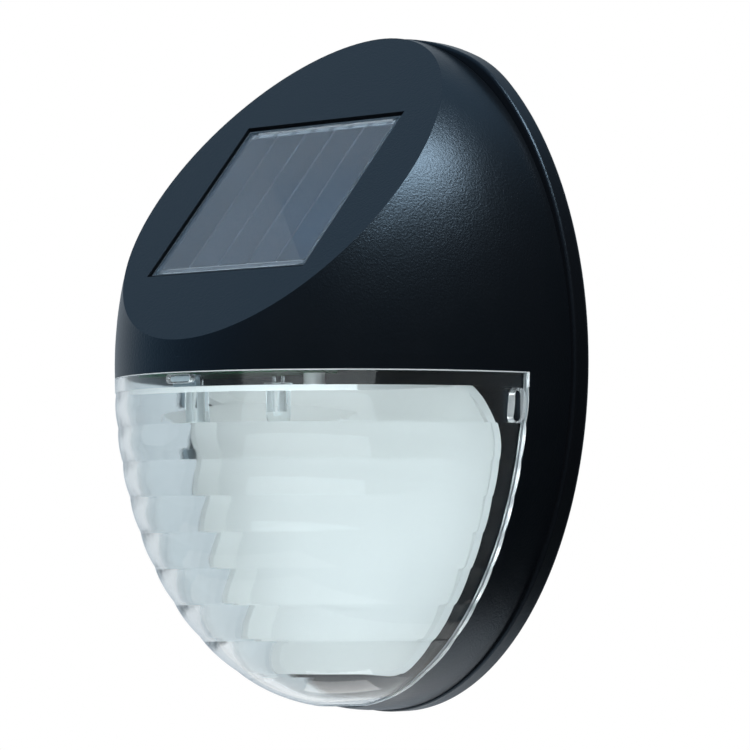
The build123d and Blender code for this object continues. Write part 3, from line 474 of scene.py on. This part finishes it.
# Studio: white to the eye, a shade darker through clear plastic, and a dim white fill for matte surfaces.
# Gloss sees cool light above and to the left, a white backdrop behind, and black to the right.
world = bpy.data.worlds.new("studio")
bpy.context.scene.world = world
world.use_nodes = True
tree = world.node_tree
fill_level = 0.35
front_level = 0.7
behind_level = 0.9
front_ends = -0.3
behind_starts = 0.3
# Each glow: its direction, how closely a ray faces it where it starts and where it is full, and its level.
left_glow = ((-0.75, 0.0, 0.55), -0.1, 0.9, 0.62)
backdrop_glow = ((-0.69, 0.72, 0.0), 0.45, 0.8, 0.6)
ceiling_glow = ((0.0, 0.5, 0.866), 0.86, 0.98, 0.62)
rays = add_node(tree, "ShaderNodeLightPath")
way = add_node(tree, "ShaderNodeTexCoord").outputs["Generated"]
glows = []
for towards, starts, full, brightness in (left_glow, backdrop_glow, ceiling_glow):
    facing = add_node(tree, "ShaderNodeVectorMath", {"operation": "DOT_PRODUCT"}, {0: way, 1: towards})
    glow = add_node(tree, "ShaderNodeMapRange", None, {
        "Value": facing.outputs["Value"], "From Min": starts, "From Max": full,
        "To Min": 0.0, "To Max": brightness})
    glows.append(glow.outputs["Result"])
left, backdrop, ceiling = glows
seen = left
for glow in (backdrop, ceiling):
    seen = add_node(tree, "ShaderNodeMath", {"operation": "MAXIMUM"}, {0: seen, 1: glow}).outputs[0]
gloss = add_node(tree, "ShaderNodeMix", None, {
    "Factor": rays.outputs["Is Glossy Ray"], "A": fill_level, "B": seen})
spread = add_node(tree, "ShaderNodeSeparateXYZ", None, {"Vector": way})
through = add_node(tree, "ShaderNodeMapRange", None, {
    "Value": spread.outputs["Y"], "From Min": front_ends, "From Max": behind_starts,
    "To Min": front_level, "To Max": behind_level})
clear = add_node(tree, "ShaderNodeMix", None, {
    "Factor": rays.outputs["Is Transmission Ray"], "A": gloss.outputs["Result"],
    "B": through.outputs["Result"]})
level = add_node(tree, "ShaderNodeMix", None, {
    "Factor": rays.outputs["Is Camera Ray"], "A": clear.outputs["Result"], "B": 1.0})
mirrored = add_node(tree, "ShaderNodeMath", {"operation": "SUBTRACT", "use_clamp": True}, {
    0: rays.outputs["Is Glossy Ray"], 1: rays.outputs["Is Transmission Ray"]})
sheen = add_node(tree, "ShaderNodeMath", {"operation": "SUBTRACT", "use_clamp": True}, {
    0: mirrored.outputs[0], 1: backdrop})
cool = add_node(tree, "ShaderNodeMix", {"data_type": "RGBA"}, {
    "Factor": sheen.outputs[0], "A": (1.0, 1.0, 1.0, 1.0), "B": linear("#aadaff")})
for node, socket in ((level, "Strength"), (cool, "Color")):
    tree.links.new(node.outputs["Result"], tree.nodes["Background"].inputs[socket])


def softbox(name, aim, distance, size, power):
    """A lamp of a width and height that looks at the object from a direction, itself unseen by the eye."""
    lamp = bpy.data.lights.new(name, "AREA")
    lamp.shape = "RECTANGLE"
    lamp.size, lamp.size_y = size
    lamp.energy = power
    holder = bpy.data.objects.new(name, lamp)
    towards = Vector(aim).normalized()
    holder.location = towards * distance
    holder.rotation_euler = towards.to_track_quat("Z", "Y").to_euler()
    holder.visible_camera = False
    bpy.context.scene.collection.objects.link(holder)
    return holder


# The strip draws the sheen beside the sloped face, and the low lamp the bright spot at the lens's foot.
# The two fills light the front and the back, and don't show in gloss.
softbox("overhead_strip", aim=(0.53, -0.12, 0.84), distance=1.0, size=(0.7, 0.22), power=13.5)
low_lamp = softbox("low_softbox", aim=(-0.32, 0.33, -0.89), distance=0.65, size=(0.2, 0.2), power=0.27)
low_lamp.visible_transmission = False
front_fill = softbox("front_fill", aim=(0.45, -1.0, 0.2), distance=1.6, size=(2.0, 2.0), power=51.0)
front_fill.visible_glossy = False
back_fill = softbox("back_fill", aim=(-0.2, 1.0, 0.35), distance=1.4, size=(0.9, 0.9), power=30.0)
back_fill.visible_glossy = False
back_fill.visible_transmission = False

# Camera: a long lens to the right of the middle and slightly below it, as in the photograph.
# Light may bounce often enough to find its way out of the ribbed lens.
azimuth = radians(43.358)
elevation = radians(-2.632)
distance = 787.6 * MM
aim_right = -5.354 * MM
aim_up = -1.522 * MM
level_right = Vector((cos(azimuth), sin(azimuth), 0))
to_eye = Vector((sin(azimuth) * cos(elevation), -cos(azimuth) * cos(elevation), sin(elevation)))
camera = bpy.data.objects.new("camera", bpy.data.cameras.new("camera"))
camera.data.sensor_width = 36.0
camera.data.lens = 173.5
camera.location = level_right * aim_right + Vector((0, 0, aim_up)) + to_eye * distance
camera.rotation_euler = to_eye.to_track_quat("Z", "Y").to_euler()
bpy.context.scene.collection.objects.link(camera)
bpy.context.scene.camera = camera
bpy.context.scene.view_settings.view_transform = "Standard"
paths = bpy.context.scene.cycles
paths.max_bounces = 32
paths.glossy_bounces = 24
paths.transmission_bounces = 32
